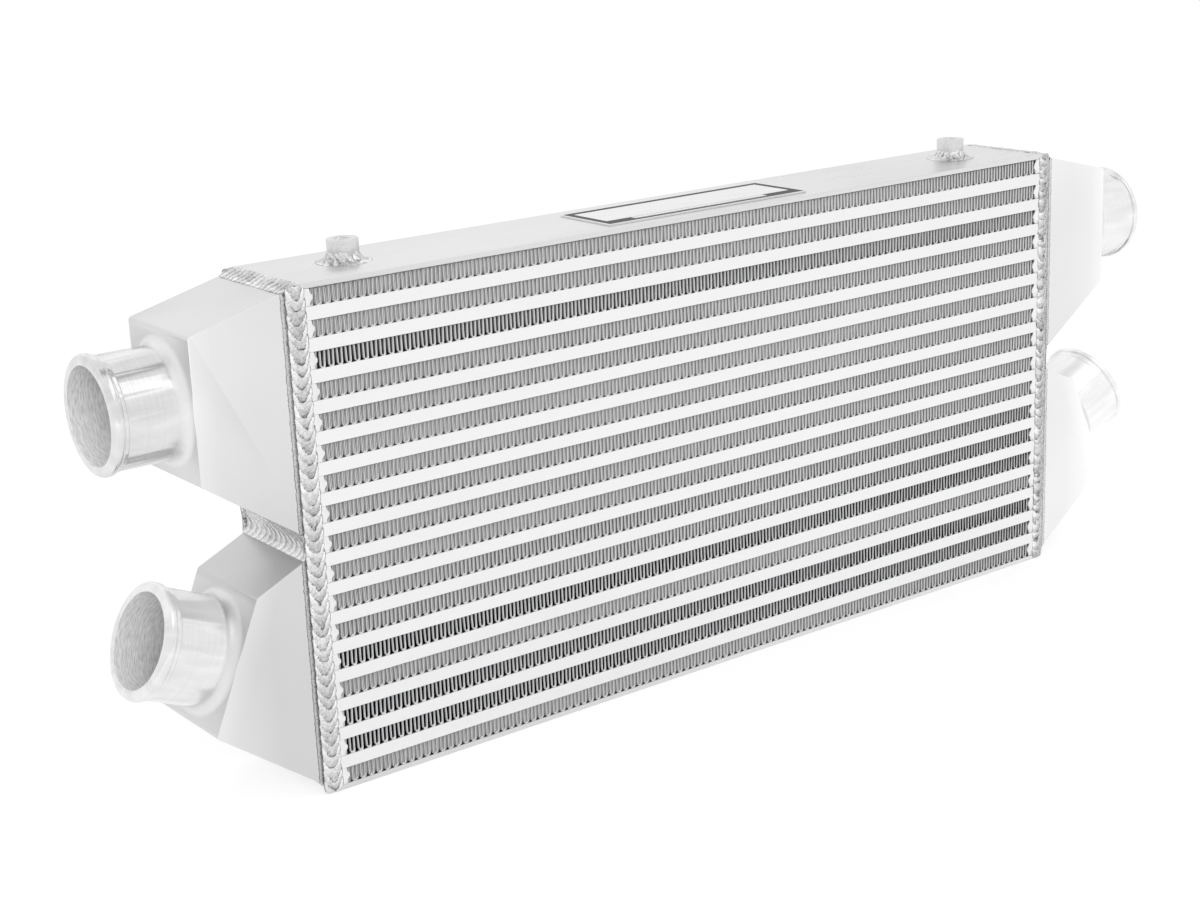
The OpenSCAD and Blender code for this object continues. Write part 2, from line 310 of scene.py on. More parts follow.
flux_and_shade_grey = 0.1
rolled, tree, shader, place = metal("rolled_plate", 0.3)
cloud = grain(tree, place, 9, (1, 2, 1), 2)
rolling = grain(tree, place, 260, (0.06, 1, 1))
tone = mixed(tree, (cloud, 0.6), (rolling, 0.4))
within = inside_stack(tree, place)
# The plates are painted darker to the left and paler to the right: painted light.
along_core = ramp(tree, parts_of(tree, place)[0], -0.3, 0.25, -0.07, 0.03)
bare = plus(tree, ramp(tree, tone, 0, 1, 0.71, 0.79), along_core)
tree.links.new(tint(tree, ramp(tree, within, 0, 1, bare, flux_and_shade_grey)), shader.inputs["Base Color"])
tree.links.new(ramp(tree, rolling, 0.3, 0.7, 0.26, 0.36), shader.inputs["Roughness"])
tree.links.new(bump(tree, grain(tree, place, 900), 0.00002), shader.inputs["Normal"])
for node in ("core_top_plate", "core_bottom_plate"):
    fit(broken_edges(node, rolled, 0.0005), "core_plate", node)


# Charge passages and end bars. Extruded bars, brazed between the parting sheets and then
# milled flush on both faces of the core, which leaves them bright, flat and finely grained.
milled, tree, shader, place = metal("milled_bar", 0.34)
cloud = grain(tree, place, 30, (0.3, 1, 1), 2)
fine = grain(tree, place, 1400, (0.5, 1, 1), 4)
tone = mixed(tree, (cloud, 0.4), (fine, 0.6))
within = inside_stack(tree, place)
bare = ramp(tree, tone, 0, 1, 0.82, 0.93)
tree.links.new(tint(tree, ramp(tree, within, 0, 1, bare, flux_and_shade_grey)), shader.inputs["Base Color"])
tree.links.new(ramp(tree, fine, 0.3, 0.7, 0.28, 0.42), shader.inputs["Roughness"])
tree.links.new(bump(tree, fine, 0.00002), shader.inputs["Normal"])
passages = sorted(name for name in cad if name.startswith("charge_passage_"))
for node in passages:
    cad[node].data.materials.clear()
    cad[node].data.materials.append(milled)
for node in ("left_end_bars", "right_end_bars"):
    fit(broken_edges(node, milled, 0.0003, 1), "core_bar", node)


# Cooling fins. Thin sheet folded into 104 waves a row and lanced, so that each short strip
# stands a quarter of a wave beside the one before it. One side of the sheet is painted a little
# paler, as painted light on every other wall.
fin_waves = 104
fin_sheet = 0.00024
fin_merge = 2e-6
fin_low, fin_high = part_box("air_fin_01")
fin_pitch = (fin_high.x - fin_low.x) / fin_waves
fin_tall = fin_high.z - fin_low.z


def fold_mesh(middle_line):
    """One wave of the sheet as a closed section, 1 m deep, open only where the next one joins."""
    leg = fin_tall - fin_sheet
    line = [Vector((u * fin_pitch, fin_sheet / 2 + v * leg)) for u, v in middle_line]
    whole = Vector((fin_pitch, 0))
    before, after = line[-2] - whole, line[1] + whole
    sides = []
    for k, point in enumerate(line):
        back = point - (line[k - 1] if k else before)
        ahead = (line[k + 1] if k + 1 < len(line) else after) - point
        turn = (back.normalized() + ahead.normalized()).normalized()
        normal = Vector((-turn.y, turn.x))
        half = fin_sheet / 2 / max(0.6, normal.dot(Vector((-ahead.y, ahead.x)).normalized()))
        sides.append((point + normal * half, point - normal * half))
    points, faces, upper = [], [], []
    for y in (0.0, 1.0):
        for top, low in sides:
            points.append((top.x, y, top.y))
            points.append((low.x, y, low.y))
    row = 2 * len(line)
    for k in range(len(line) - 1):
        a, b, c, d = 2 * k, 2 * k + 1, 2 * k + 2, 2 * k + 3
        faces += [(a, c, c + row, a + row), (d, b, b + row, d + row),
                  (b, d, c, a), (a + row, c + row, d + row, b + row)]
        upper += [1.0, 0.0, 0.5, 0.5]
    mesh = bpy.data.meshes.new("fold")
    mesh.from_pydata(points, [], faces)
    side = mesh.attributes.new("upper_side", "FLOAT", "FACE")
    side.data.foreach_set("value", upper)
    return mesh


def geometry_tree(name, **inputs):
    """A new tree with named inputs; returns it with its input and its output node."""
    group = bpy.data.node_groups.new(name, "GeometryNodeTree")
    kinds = {int: "NodeSocketInt", float: "NodeSocketFloat",
             bpy.types.Object: "NodeSocketObject", bpy.types.Material: "NodeSocketMaterial"}
    group.interface.new_socket("Geometry", in_out="INPUT", socket_type="NodeSocketGeometry")
    for label, kind in inputs.items():
        group.interface.new_socket(label, in_out="INPUT", socket_type=kinds[kind])
    group.interface.new_socket("Geometry", in_out="OUTPUT", socket_type="NodeSocketGeometry")
    start = group.nodes.new("NodeGroupInput")
    end = group.nodes.new("NodeGroupOutput")
    return group, start.outputs, end.inputs[0]


def dressed(piece, group, **sizes):
    """Runs the tree over the piece with the given sizes and keeps the plain mesh."""
    modifier = piece.modifiers.new(group.name, "NODES")
    modifier.node_group = group
    for item in group.interface.items_tree:
        if item.in_out == "INPUT" and item.name in sizes:
            modifier[item.identifier] = sizes[item.name]
    return finished(piece)


def named(tree, name):
    """In a tree, a value that was kept on the mesh."""
    kept = add(tree, "GeometryNodeInputNamedAttribute", {"Name": name}, data_type="FLOAT")
    return kept.outputs[0]


def marked(tree, shape, name, value):
    """Keeps a value on the points of a shape for its material to read."""
    inputs = {"Geometry": shape, "Name": name, "Value": value}
    return add(tree, "GeometryNodeStoreNamedAttribute", inputs, domain="POINT").outputs[0]


def ended(tree, shape, material):
    """Makes a shape real and gives it its material, as every tree ends."""
    real = add(tree, "GeometryNodeRealizeInstances", {"Geometry": shape}).outputs[0]
    inputs = {"Geometry": real, "Material": material}
    return add(tree, "GeometryNodeSetMaterial", inputs).outputs[0]


def reads(tree, name):
    """In a material, a value that was kept on the mesh."""
    return add(tree, "ShaderNodeAttribute", attribute_name=name).outputs["Fac"]


bend = 0.085
outer_fold = new_piece("outer_fold", fold_mesh([
    (0.06, 0), (0.42, 0), (0.475, bend), (0.495, 1 - bend),
    (0.56, 1), (0.92, 1), (0.975, 1 - bend), (0.995, bend), (1.06, 0),
]), None)
inner_fold = new_piece("inner_fold", fold_mesh([
    (0.06, 0), (0.44, 0), (0.53, 1), (0.94, 1), (1.06, 0),
]), None)
folding, given, result = geometry_tree(
    "folded_row", Outer=bpy.types.Object, Inner=bpy.types.Object, Waves=int, Pitch=float,
    Length=float, Lean=float, Gloom=float, Fade=float, Seed=int, Metal=bpy.types.Material)
tree = folding
step = vector_of(tree, X=given["Pitch"])
row_of = {"Count": given["Waves"], "Offset": step}
line = add(tree, "GeometryNodeMeshLine", row_of, mode="OFFSET").outputs[0]
limits = {2: 0.0, 3: 1.0, "Seed": given["Seed"]}
spread = add(tree, "FunctionNodeRandomValue", limits, data_type="FLOAT")
line = marked(tree, line, "wave_tone", spread.outputs[1])
deep, hidden = named(tree, "deep"), named(tree, "hidden")
depth = vector_of(tree, X=1.0, Y=deep, Z=1.0)
seen = minus(tree, 1.0, hidden)
both = add(tree, "GeometryNodeJoinGeometry")
for shape, chosen in (("Outer", seen), ("Inner", hidden)):
    one = add(tree, "GeometryNodeObjectInfo", {"Object": given[shape]}, transform_space="ORIGINAL")
    one = one.outputs["Geometry"]
    waves = add(tree, "GeometryNodeInstanceOnPoints", {"Points": line, "Instance": one}).outputs[0]
    waves = add(tree, "GeometryNodeRealizeInstances", {"Geometry": waves}).outputs[0]
    merge = {"Geometry": waves, "Distance": fin_merge}
    waves = add(tree, "GeometryNodeMergeByDistance", merge).outputs[0]
    laid = {"Points": given["Geometry"], "Selection": chosen, "Instance": waves, "Scale": depth}
    strips = add(tree, "GeometryNodeInstanceOnPoints", laid).outputs[0]
    tree.links.new(strips, both.inputs[0])
strips = add(tree, "GeometryNodeRealizeInstances", {"Geometry": both.outputs[0]}).outputs[0]
where = add(tree, "GeometryNodeInputPosition").outputs[0]
parts = parts_of(tree, where)
shifted = vector_of(tree, X=parts["X"], Y=times(tree, given["Seed"], 0.37))
push = noise(tree, shifted, 70.0, 2.0)
push = times(tree, minus(tree, push, 0.5), given["Lean"])
tall = ramp(tree, parts["Z"], 0.0, fin_tall)
push = times(tree, push, tall)
offset = vector_of(tree, X=push)
strips = add(tree, "GeometryNodeSetPosition", {"Geometry": strips, "Offset": offset}).outputs[0]
share = plus(tree, maths(tree, "DIVIDE", parts["X"], given["Length"]), 0.5)
gloomy = maths(tree, "MULTIPLY_ADD", share, given["Fade"], given["Gloom"])
strips = marked(tree, marked(tree, strips, "gloom", gloomy), "tall", tall)
tree.links.new(ended(tree, strips, given["Metal"]), result)

sheet, tree, shader, place = metal("fin_sheet", 0.5, 0.0)
# A fin is bright at the face and falls into shadow behind it. In a dark row it goes black at
# once. The change comes sooner towards the right, where the eye looks in more flatly.
side = reads(tree, "upper_side")
wave = reads(tree, "wave_tone")
gloom = reads(tree, "gloom")
tall = reads(tree, "tall")
px, py, pz = parts_of(tree, place)
deep = minus(tree, 0.037, size_of(tree, py))
across = ramp(tree, px, -0.29, 0.29)
patch = ramp(tree, grain(tree, place, 7, (1, 0, 9), 1), 0.35, 0.65, -0.12, 0.12)
contrast = plus(tree, gloom, patch, clamp=True)
black_from = ramp(tree, across, 0, 1, 0.0017, 0.0006)
black_to = plus(tree, black_from, 0.0003)
shaded = ramp(tree, deep, black_from, black_to, 0.97, 0.015)
# Every other wall, on one side of the sheet, is painted a little paler: painted light.
plain = mixed(tree, (side, 0.05), (wave, 0.06), (0.86, 1.0))
dusk = times(tree, ramp(tree, deep, 0.0009, 0.0022), ramp(tree, across, 0.0, 1.0, 0.3, 0.5))
plain = minus(tree, plain, dusk)
inner = ramp(tree, contrast, 0, 1, plain, shaded)
rim = ramp(tree, contrast, 0.0, 0.5, 0.88, 0.97)
level = ramp(tree, deep, 0.0003, 0.0007, rim, inner)
# The top of each fold, under the bar above it, is painted darker: a painted shadow.
shadow_under_bar = ramp(tree, tall, 0.915, 0.955, 0.0, 0.65)
level = times(tree, level, minus(tree, 1.0, shadow_under_bar))
tree.links.new(tint(tree, level), shader.inputs["Base Color"])

# Four sheets went in the other way round, so the eye gets past their first strips. Gloom is
# how dark a row looks at its left end, and fade what is added to that by its right end.
turned_rows = (2, 3, 5, 15)
glooms = {15: (0.85, -0.5), 7: (0.35, 0.45), 6: (0.25, 0.5), 16: (0.12, 0.2), 1: (0.05, 0.2),
          4: (0.03, 0.15)}
turned_gloom, plain_gloom = (1.0, -0.12), (0.03, 0.05)
long_strips = [0.0037, 0.0034]
short_from, short_to = 0.00085, 0.00105
first_step = -fin_pitch / 2 - 0.0004
chance = random.Random(17)
for row in range(1, 18):
    node = "air_fin_%02d" % row
    low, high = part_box(node)
    gloom, fade = glooms.get(row, turned_gloom if row in turned_rows else plain_gloom)
    if row in turned_rows:
        front, rear = long_strips, long_strips[::-1]
    else:
        strip = chance.uniform(short_from, short_to)
        front, rear = [strip] * 3, [strip] * 2
    deeps = front + [high.y - low.y - sum(front) - sum(rear)] + rear
    points, y = [], low.y
    for k, strip in enumerate(deeps):
        points.append((low.x + first_step + (fin_pitch / 4 if k % 2 else 0), y, 0))
        y += strip
    mesh = bpy.data.meshes.new(node + "_folded")
    mesh.from_pydata(points, [], [])
    mesh.attributes.new("deep", "FLOAT", "POINT").data.foreach_set("value", deeps)
    inner = [1.0 if k == len(front) else 0.0 for k in range(len(deeps))]
    mesh.attributes.new("hidden", "FLOAT", "POINT").data.foreach_set("value", inner)
    piece = new_piece(node + "_folded", mesh, None)
    dressed(piece, folding, Outer=outer_fold, Inner=inner_fold, Waves=fin_waves + 1,
            Pitch=fin_pitch, Length=high.x - low.x, Lean=0.0016, Gloom=gloom, Fade=fade, Seed=row,
            Metal=sheet)
    piece.data.transform(Matrix.Translation((0, 0, low.z)))
    fit(piece, "fin", node)
bpy.data.objects.remove(outer_fold)
bpy.data.objects.remove(inner_fold)


# End tanks. Each is one casting with its hose neck. The front and rear faces are milled
# flat with the core; the neck, its lip and its bore are turned, and the root stays as cast.
tank_depth, tank_wall, tank_round = 73, 4, 2.5
upper_outline = [(305, 302.6), (371, 286), (371, 202), (305, 156.3)]
lower_outline = [(305, 148.3), (343.5, 130.8), (376, 54.8), (305, 2)]
neck_radius, bore_radius, root_round = 32.5, 28, 6.5
neck_sides = 128
mm = 0.001


def across_of(a, b):
    """The unit vector to the right of the way from a to b."""
    way = (b - a).normalized()
    return Vector((way.y, -way.x))


def rounded(points, radius, steps):
    """The outline with its two middle corners rounded."""
    corners = [Vector(p) for p in points]
    made = [corners[0]]
    for a, p, b in zip(corners, corners[1:], corners[2:]):
        u, v = (a - p).normalized(), (b - p).normalized()
        half = u.angle(v) / 2
        centre = p + (u + v).normalized() * radius / math.sin(half)
        first = p + u * radius / math.tan(half) - centre
        for k in range(steps + 1):
            made.append(centre + Matrix.Rotation(-k * (math.pi - 2 * half) / steps, 2) @ first)
    return made + [corners[3]]


def hollow(points, wall):
    """The outline one wall further in, run on past the end of the core."""
    corners = [Vector(p) for p in points]
    inner = []
    for a, p, b in zip(corners, corners[1:], corners[2:]):
        m, n = across_of(a, p), across_of(p, b)
        inner.append(p + (m + n) * wall / (1 + m.dot(n)))
    first, last = corners[1] - corners[0], corners[3] - corners[2]
    inner.insert(0, inner[0] - first * (inner[0].x - corners[0].x + wall) / first.x)
    inner.append(inner[-1] + last * (inner[-1].x - corners[0].x + wall) / -last.x)
    return inner


def solid(name, work):
    bmesh.ops.recalc_face_normals(work, faces=work.faces)
    mesh = bpy.data.meshes.new(name)
    work.to_mesh(mesh)
    work.free()
    return new_piece(name, mesh, None)


def prism(name, points, depth):
    work = bmesh.new()
    rims = [[work.verts.new((p.x * mm, y * mm, p.y * mm)) for p in points]
            for y in (-depth / 2, depth / 2)]
    work.faces.new(rims[0])
    work.faces.new(rims[1])
    for k in range(len(points)):
        n = (k + 1) % len(points)
        work.faces.new((rims[0][k], rims[0][n], rims[1][n], rims[1][k]))
    return solid(name, work)


def turned(profile, place, sides):
    """A closed turned piece from its radii and heights, which start and end on the axis."""
    work = bmesh.new()
    rings = []
    for radius, height in profile:
        if radius == 0:
            rings.append([work.verts.new(place @ Vector((0, 0, height * mm)))])
            continue
        angles = [2 * math.pi * k / sides for k in range(sides)]
        spots = [Vector((radius * mm * math.cos(t), radius * mm * math.sin(t), height * mm))
                 for t in angles]
        rings.append([work.verts.new(place @ spot) for spot in spots])
    for low, high in zip(rings, rings[1:]):
        for k in range(sides):
            n = (k + 1) % sides
            corner = [low[k % len(low)], low[n % len(low)],
                      high[n % len(high)], high[k % len(high)]]
            work.faces.new(list(dict.fromkeys(corner)))
    return work


def curve_between(a, b, c, steps):
    """Points of a smooth curve from a to c that is drawn towards b."""
    made = []
    for k in range(1, steps + 1):
        t = k / steps
        near, mid, far = (1 - t) ** 2, 2 * t * (1 - t), t * t
        made.append(tuple(near * p + mid * q + far * r for p, q, r in zip(a, b, c)))
    return made


root_at = neck_radius + root_round
neck_profile = [(0, -2), (root_at, -2), (root_at, -0.4)]
for k in range(2, 15):
    turn = math.pi / 2 * k / 14
    height = root_round - 0.05 - root_round * math.cos(turn)
    neck_profile.append((root_at - root_round * math.sin(turn), height))
neck_profile += [(32.5, 36.1), (32.9, 36.5), (33.1, 38.5), (32.7, 38.9), (32.7, 39.4), (33.7, 39.8)]
neck_profile += curve_between((33.7, 39.8), (34.2, 39.9), (34.3, 40.6), 4)
neck_profile += [(34.3, 42.2)]
neck_profile += curve_between((34.3, 42.2), (34.1, 44.3), (31.6, 44.85), 8)
neck_profile += [(30.6, 45), (0, 45)]


def tank(node, points, left):
    top, low = Vector(points[1]), Vector(points[2])
    out = -across_of(top, low)
    seat = (top + low) / 2 * mm
    axes = Matrix(((out.y, 0, out.x), (0, 1, 0), (-out.x, 0, out.y))).to_4x4()
    place = Matrix.Translation((seat.x, 0, seat.y)) @ axes
    body = prism(node + "_finished", rounded(points, tank_round, 8), tank_depth)
    work = turned(neck_profile, place, neck_sides)
    for way in (-1, 1):
        cut = bmesh.ops.bisect_plane(
            work, geom=work.verts[:] + work.edges[:] + work.faces[:], dist=1e-7,
            plane_co=(0, way * tank_depth / 2 * mm, 0), plane_no=(0, way, 0), clear_outer=True)
        rim = [e for e in cut["geom_cut"] if isinstance(e, bmesh.types.BMEdge) and e.is_boundary]
        bmesh.ops.holes_fill(work, edges=rim, sides=0)
    neck = solid("neck", work)
    room = prism("room", hollow(points, tank_wall), tank_depth - 2 * tank_wall)
    bore = solid("bore", turned([
        (0, -9), (bore_radius, -9), (bore_radius, 44.6), (bore_radius + 0.5, 45.2),
        (bore_radius + 0.5, 47), (0, 47),
    ], place, neck_sides))
    for tool, operation in ((neck, "UNION"), (room, "DIFFERENCE"), (bore, "DIFFERENCE")):
        step = body.modifiers.new(operation, "BOOLEAN")
        step.object, step.operation, step.solver = tool, operation, "EXACT"
    finished(body)
    for tool in (neck, room, bore):
        bpy.data.objects.remove(tool)
    work = bmesh.new()
    work.from_mesh(body.data)
    bmesh.ops.remove_doubles(work, verts=work.verts, dist=3e-6)
    flat = math.radians(0.05)
    bmesh.ops.dissolve_limit(work, angle_limit=flat, verts=work.verts, edges=work.edges)
    for face in work.faces:
        face.smooth = True
    work.to_mesh(body.data)
    work.free()
    body.data.materials.append(cast)
    body.data.materials.append(cast)
    edge = body.modifiers.new("edge", "BEVEL")
    edge.width, edge.segments, edge.limit_method = 0.0007, 3, "ANGLE"
    edge.angle_limit = math.radians(38)
    edge.material = 1
    even = body.modifiers.new("even", "WEIGHTED_NORMAL")
    even.keep_sharp = True
    finished(body)
    # The bevel's faces are kept in a mask, for a painted highlight on the broken edges.
    count = len(body.data.polygons)
    on_edge = [0] * count
    body.data.polygons.foreach_get("material_index", on_edge)
    edge_highlight = body.data.attributes.new("edge_highlight", "FLOAT", "FACE")
    edge_highlight.data.foreach_set("value", [float(slot) for slot in on_edge])
    body.data.polygons.foreach_set("material_index", [0] * count)
    body.data.materials.pop(index=1)
    inwards = place.inverted()
    spots = [inwards @ v.co for v in body.data.vertices]
    own = body.data.attributes.new("neck_place", "FLOAT_VECTOR", "POINT")
    own.data.foreach_set("vector", [c for spot in spots for c in spot])
    if left:
        body.data.transform(Matrix.Scale(-1, 4, (1, 0, 0)))
        body.data.flip_normals()
    return fit(body, "cast_tank", node)


cast, tree, shader, place = metal("cast_aluminium", 0.36)
own = add(tree, "ShaderNodeAttribute", attribute_name="neck_place").outputs["Vector"]
nx, ny, height = parts_of(tree, own)
squares = plus(tree, maths(tree, "POWER", nx, 2.0), maths(tree, "POWER", ny, 2.0))
radius = maths(tree, "SQRT", squares)
px, py, pz = parts_of(tree, place)
# Where a point lies: on a milled face, outside on the turned neck, or in the bore.
face = ramp(tree, size_of(tree, py), 0.03640, 0.03646)
outside = maths(tree, "LESS_THAN", radius, 0.0362)
is_turned = times(tree, ramp(tree, height, 0.0058, 0.0078), outside)
is_bore = times(tree, maths(tree, "LESS_THAN", radius, 0.02815),
                maths(tree, "GREATER_THAN", height, -0.006))
# Cast skin is clouded and rough, milled faces are even, the neck has lathe marks, and the bore
# shows the strokes of the tool. The milled faces are painted paler far out, high up and on the
# right: a painted reflection.
cloud = grain(tree, place, 9, (1, 1, 1), 1)
skin = grain(tree, place, 620, (1, 1, 1), 4)
lathe = vector_of(tree, X=height, Y=times(tree, nx, 0.01))
fine_rings = noise(tree, lathe, 2600.0, 3.0)
broad_rings = noise(tree, lathe, 420.0, 2.0)
of_lower = ramp(tree, pz, 0.155, 0.145)
far_most = ramp(tree, of_lower, 0, 1, 0.05, 0.12)
right_most = ramp(tree, of_lower, 0, 1, 0.11, 0.20)
apart = size_of(tree, px)
far_out = ramp(tree, apart, 0.335, 0.371, 0.0, far_most)
high_up = ramp(tree, pz, 0.10, 0.29, 0.0, 0.11)
as_cast = mixed(tree, (ramp(tree, cloud, 0.3, 0.7, 0.62, 0.71), 1.0), (skin, 0.06))
as_milled = mixed(
    tree, (ramp(tree, cloud, 0.35, 0.65, 0.58, 0.64), 1.0), (grain(tree, place, 1500), 0.03),
    (far_out, 1.0), (high_up, 1.0), (ramp(tree, px, -0.1, 0.2, 0.0, right_most), 1.0),
    (ramp(tree, height, -0.014, -0.001), 0.05))
angle = times(tree, maths(tree, "ARCTAN2", ny, nx), 0.033)
wiped = vector_of(tree, X=angle, Y=times(tree, height, 0.25))
wiped = noise(tree, wiped, 130.0, 3.0)
as_turned = mixed(tree, (fine_rings, 0.12), (broad_rings, 0.06),
                  (ramp(tree, wiped, 0.3, 0.7), 0.10), (0.58, 1.0))
strokes = vector_of(tree, X=times(tree, angle, 0.12), Y=height)
strokes = noise(tree, strokes, 1300.0, 3.0)
as_bored = mixed(tree, (ramp(tree, fine_rings, 0.35, 0.65), 0.16),
                 (ramp(tree, strokes, 0.35, 0.65), 0.34), (0.64, 1.0))
# The root is paler, and the top faces of the lower tanks are painted darker below the middle
# beads: painted shade.
root = times(tree, ramp(tree, radius, 0.0385, 0.0365), ramp(tree, height, -0.0005, 0.001))
under = times(tree, ramp(tree, pz, 0.151, 0.149), ramp(tree, pz, 0.126, 0.129))
under = times(tree, under, ramp(tree, apart, 0.345, 0.320, 0.07, 0.13))
as_cast = minus(tree, maths(tree, "MULTIPLY_ADD", root, 0.08, as_cast), under)
level = ramp(tree, face, 0, 1, as_cast, as_milled)
# The torch left a ragged burnt strip beside the upright beads, and the broken edges are
# painted paler: a painted highlight.
burnt_to = 0.3146
ragged = maths(tree, "MULTIPLY_ADD", grain(tree, place, 420), 0.0018, apart)
strip = times(tree, ramp(tree, ragged, burnt_to + 0.0004, burnt_to), face)
outer_line = ramp(tree, size_of(tree, minus(tree, ragged, burnt_to)), 0.0004, 0.0002)
inner_line = ramp(tree, ragged, 0.3132, 0.3124)
spots = ramp(tree, grain(tree, place, 900), 0.35, 0.65, 0.08, 0.26)
burnt = mixed(tree, (outer_line, 0.28), (inner_line, 0.28), (spots, 1.0))
level = minus(tree, level, times(tree, strip, burnt))
# The broken edges are painted paler: a painted highlight.
edge_highlight = reads(tree, "edge_highlight")
level = maths(tree, "MULTIPLY_ADD", edge_highlight, 0.26, level)
# A duller patch runs along the necks, on top of the lower ones and under the upper ones.
lower_top = times(tree, ramp(tree, pz, 0.155, 0.135), ramp(tree, nx, -0.014, -0.026))
upper_low = times(tree, ramp(tree, pz, 0.155, 0.175), ramp(tree, nx, 0.018, 0.030))
sheltered = maths(tree, "MAXIMUM", lower_top, upper_low)
sheltered = times(tree, sheltered, is_turned)
as_turned = plus(tree, as_turned, times(tree, sheltered, 0.12))
# The lower necks, and the necks towards the right, are painted paler: painted light.
as_turned = plus(tree, as_turned, ramp(tree, pz, 0.15, 0.12, 0.0, 0.06))
as_turned = plus(tree, as_turned, ramp(tree, px, 0.0, 0.3, 0.0, 0.13))
level = ramp(tree, is_turned, 0, 1, level, as_turned)
level = ramp(tree, is_bore, 0, 1, level, as_bored)
tree.links.new(tint(tree, level), shader.inputs["Base Color"])
rough = ramp(tree, face, 0, 1, 0.42, 0.26)
rough = ramp(tree, is_turned, 0, 1, rough, 0.17)
tree.links.new(ramp(tree, is_bore, 0, 1, rough, 0.3), shader.inputs["Roughness"])
dull = maths(tree, "MAXIMUM", is_bore, times(tree, sheltered, 0.8))
tree.links.new(ramp(tree, dull, 0, 1, 1.0, 0.2), shader.inputs["Metallic"])
dents = ramp(tree, face, 0, 1, skin, 0.5)
dents = ramp(tree, is_turned, 0, 1, dents, fine_rings)
dents = ramp(tree, is_bore, 0, 1, dents, fine_rings)
tree.links.new(bump(tree, dents, 0.00004), shader.inputs["Normal"])

tank("upper_left_tank", upper_outline, True)
tank("lower_left_tank", lower_outline, True)
tank("upper_right_tank", upper_outline, False)
tank("lower_right_tank", lower_outline, False)


# Weld beads. Filler laid down drop after drop, so each bead is a row of overlapping ripples
# whose middles run ahead of their sides; it is bright, with soot at its edges.
rippling, given, result = geometry_tree(
    "weld_ripples", Pitch=float, Chevron=float, Slant=float, Height=float, Wobble=float,
    Groove=float, Shade=float, Seed=int, Metal=bpy.types.Material)
tree = rippling
# The phase counts the drops along the bead. Chevron draws their middles ahead, Slant leans
# them and Wobble makes them uneven; each drop is raised like half a round.
along, across, outer = named(tree, "along"), named(tree, "across"), named(tree, "outer")
where = add(tree, "GeometryNodeInputPosition").outputs[0]
spread = {0: where, 1: times(tree, given["Seed"], 0.731)}
own = add(tree, "ShaderNodeVectorMath", spread, operation="ADD").outputs[0]
drift = noise(tree, own, 170.0, 2.0)
lumps = noise(tree, own, 420.0, 2.0)
side = size_of(tree, across)
phase = maths(tree, "DIVIDE", along, given["Pitch"])
for strength, value in (("Chevron", maths(tree, "POWER", side, 1.7)), ("Slant", across),
                        ("Wobble", minus(tree, drift, 0.5))):
    phase = maths(tree, "MULTIPLY_ADD", given[strength], value, phase)
drop = maths(tree, "FLOOR", phase)
within = maths(tree, "MULTIPLY_ADD", maths(tree, "FRACT", phase), 2.0, -1.0)
squared = maths(tree, "POWER", size_of(tree, within), 2.0)
crest = maths(tree, "SQRT", minus(tree, 1.0, squared, clamp=True))
one_drop = {"W": maths(tree, "MULTIPLY_ADD", given["Seed"], 31.7, drop)}
luck = add(tree, "ShaderNodeTexWhiteNoise", one_drop, noise_dimensions="1D").outputs["Value"]
rise = times(tree, crest, ramp(tree, luck, 0, 1, 0.55, 1.0))
rise = plus(tree, minus(tree, rise, 0.6), maths(tree, "MULTIPLY_ADD", lumps, 0.7, -0.35))
rise = times(tree, times(tree, rise, given["Height"]), outer)
normal = add(tree, "GeometryNodeInputNormal").outputs[0]
push = add(tree, "ShaderNodeVectorMath", {0: normal, "Scale": rise}, operation="SCALE").outputs[0]
made = given["Geometry"]
for label, value in (("crest", crest), ("lap", maths(tree, "FRACT", phase)), ("luck", luck),
                     ("groove", given["Groove"]), ("shade", given["Shade"])):
    made = marked(tree, made, label, value)
made = add(tree, "GeometryNodeSetPosition", {"Geometry": made, "Offset": push}).outputs[0]
tree.links.new(ended(tree, made, given["Metal"]), result)

weld, tree, shader, place = metal("weld_metal", 0.2)
# A drop is painted palest where it begins, darker to its end and cut off there by a black
# line: painted light and shade on the ripples.
crest = reads(tree, "crest")
across = reads(tree, "across")
scale = grain(tree, place, 720, (1, 1, 1), 4)
fine = grain(tree, place, 2400, (1, 1, 1), 2)
lap = reads(tree, "lap")
luck = reads(tree, "luck")
groove = reads(tree, "groove")
dimmed = reads(tree, "shade")
middle_part = ramp(tree, size_of(tree, across), 0.35, 0.85)
body = plus(tree, ramp(tree, lap, 0.08, 0.9, 0.84, 0.56), ramp(tree, middle_part, 0, 1, 0.0, 0.16))
body = minus(tree, body, times(tree, luck, 0.14))
lit_side = ramp(tree, across, -1.0, -0.2, 0.25, 0.0)
lit_side = times(tree, times(tree, lit_side, ramp(tree, lap, 0.1, 0.6, 1.0, 0.0)), groove)
patchy = ramp(tree, scale, 0.35, 0.65, -0.15, 0.10)
body = mixed(tree, (body, 1.0), (patchy, 1.0), (lit_side, 1.0))
cut = times(tree, ramp(tree, crest, 0.60, 0.25), ramp(tree, middle_part, 0, 1, 1.0, 0.55))
# Each bead is also painted darker as a whole by its Shade: painted shade.
level = ramp(tree, times(tree, cut, groove), 0, 1, minus(tree, body, dimmed), 0.08)
soot = ramp(tree, maths(tree, "MULTIPLY_ADD", scale, 0.10, size_of(tree, across)), 0.93, 1.02)
level = minus(tree, level, times(tree, soot, 0.34))
tree.links.new(tint(tree, level), shader.inputs["Base Color"])
tree.links.new(ramp(tree, scale, 0.35, 0.65, 0.12, 0.34), shader.inputs["Roughness"])
tree.links.new(bump(tree, mixed(tree, (scale, 0.7), (fine, 0.3)), 0.00012), shader.inputs["Normal"])


